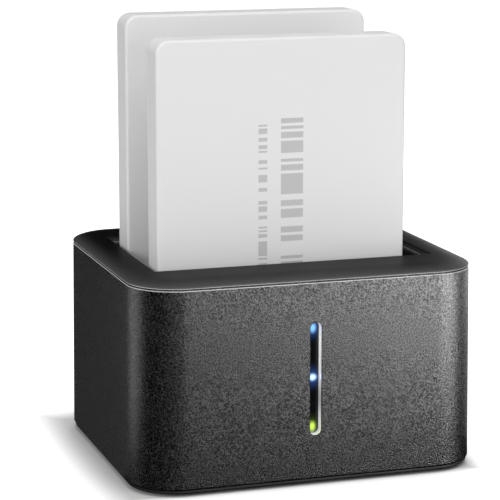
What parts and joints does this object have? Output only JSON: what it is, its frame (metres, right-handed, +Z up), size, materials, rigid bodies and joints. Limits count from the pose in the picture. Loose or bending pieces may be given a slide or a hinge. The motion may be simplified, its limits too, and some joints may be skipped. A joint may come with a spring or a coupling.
{
  "type": "drive duplicator",
  "caption": "Desktop drive duplicator: rounded box dock with a crowned rim, a front light slot and 2.5-inch drives standing in an open bay; the drives lift out.",
  "frame": {"origin": "middle of the footprint, on the surface that the rubber feet stand on", "axes": "+X to the right seen from the front, +Y from the front wall to the rear wall, +Z up"},
  "size_m": [0.0972, 0.086, 0.1222],
  "materials": {
    "shell": "fine spark-eroded grain, charcoal black",
    "bezel": "smooth satin black",
    "liner": "fine matte black",
    "base": "satin black",
    "rubber": "matte",
    "screw_steel": "zinc plated",
    "circuit_board": "solder mask green",
    "socket_plastic": "glass-filled black",
    "contact_gold": "gold flash",
    "chip": "moulded epoxy",
    "connector_steel": "tinned",
    "bright_trim": "bright plated plastic",
    "smoked_lens": "smoked and glossy",
    "milky_guide": "milky",
    "led_blue": "clear lens",
    "led_pale_blue": "clear lens",
    "led_green": "clear lens",
    "button_plastic": "satin black",
    "drive_white": "smooth satin white"
  },
  "bodies": {
    "dock": {"base_cover": "base", "base_screws": "screw_steel", "bay_liner": "liner", "board_screws": "screw_steel", "body_shell": "shell", "bridge_chip": "chip", "capacitors": "connector_steel", "clone_switch": "socket_plastic", "crystal": "connector_steel", "dc_jack": "socket_plastic", "dc_pin": "connector_steel", "front_socket": "socket_plastic", "front_socket_contacts": "contact_gold", "inductors": "chip", "led_board": "circuit_board", "led_header": "socket_plastic", "light_guide": "milky_guide", "light_trim": "bright_trim", "light_window": "smoked_lens", "liner_screws": "screw_steel", "lower_led": "led_green", "main_board": "circuit_board", "memory_chip": "chip", "middle_led": "led_pale_blue", "power_switch": "socket_plastic", "rear_socket": "socket_plastic", "rear_socket_contacts": "contact_gold", "regulators": "chip", "rubber_feet": "rubber", "top_bezel": "bezel", "upper_led": "led_blue", "usb_port": "connector_steel", "usb_tongue": "socket_plastic"},
    "front_drive": {"front_drive_back": "drive_white", "front_drive_board": "circuit_board", "front_drive_case": "drive_white", "front_drive_chips": "chip", "front_drive_plug": "socket_plastic", "front_drive_screws": "screw_steel"},
    "rear_drive": {"rear_drive_back": "drive_white", "rear_drive_board": "circuit_board", "rear_drive_case": "drive_white", "rear_drive_chips": "chip", "rear_drive_plug": "socket_plastic", "rear_drive_screws": "screw_steel"},
    "power_button": {"power_button": "button_plastic", "power_plunger": "button_plastic"},
    "clone_button": {"clone_button": "button_plastic", "clone_plunger": "button_plastic"}
  },
  "joints": [
    {"name": "front_drive_lift", "type": "slide", "parent": "dock", "child": "front_drive", "axis": [0, 0, 1], "range_m": [0, 0.041]},
    {"name": "rear_drive_lift", "type": "slide", "parent": "dock", "child": "rear_drive", "axis": [0, 0, 1], "range_m": [0, 0.037]},
    {"name": "power_button_press", "type": "slide", "parent": "dock", "child": "power_button", "axis": [0, -1, 0], "range_m": [0, 0.0016], "stiffness_N_per_m": 900},
    {"name": "clone_button_press", "type": "slide", "parent": "dock", "child": "clone_button", "axis": [0, -1, 0], "range_m": [0, 0.0006], "stiffness_N_per_m": 1500}
  ]
}
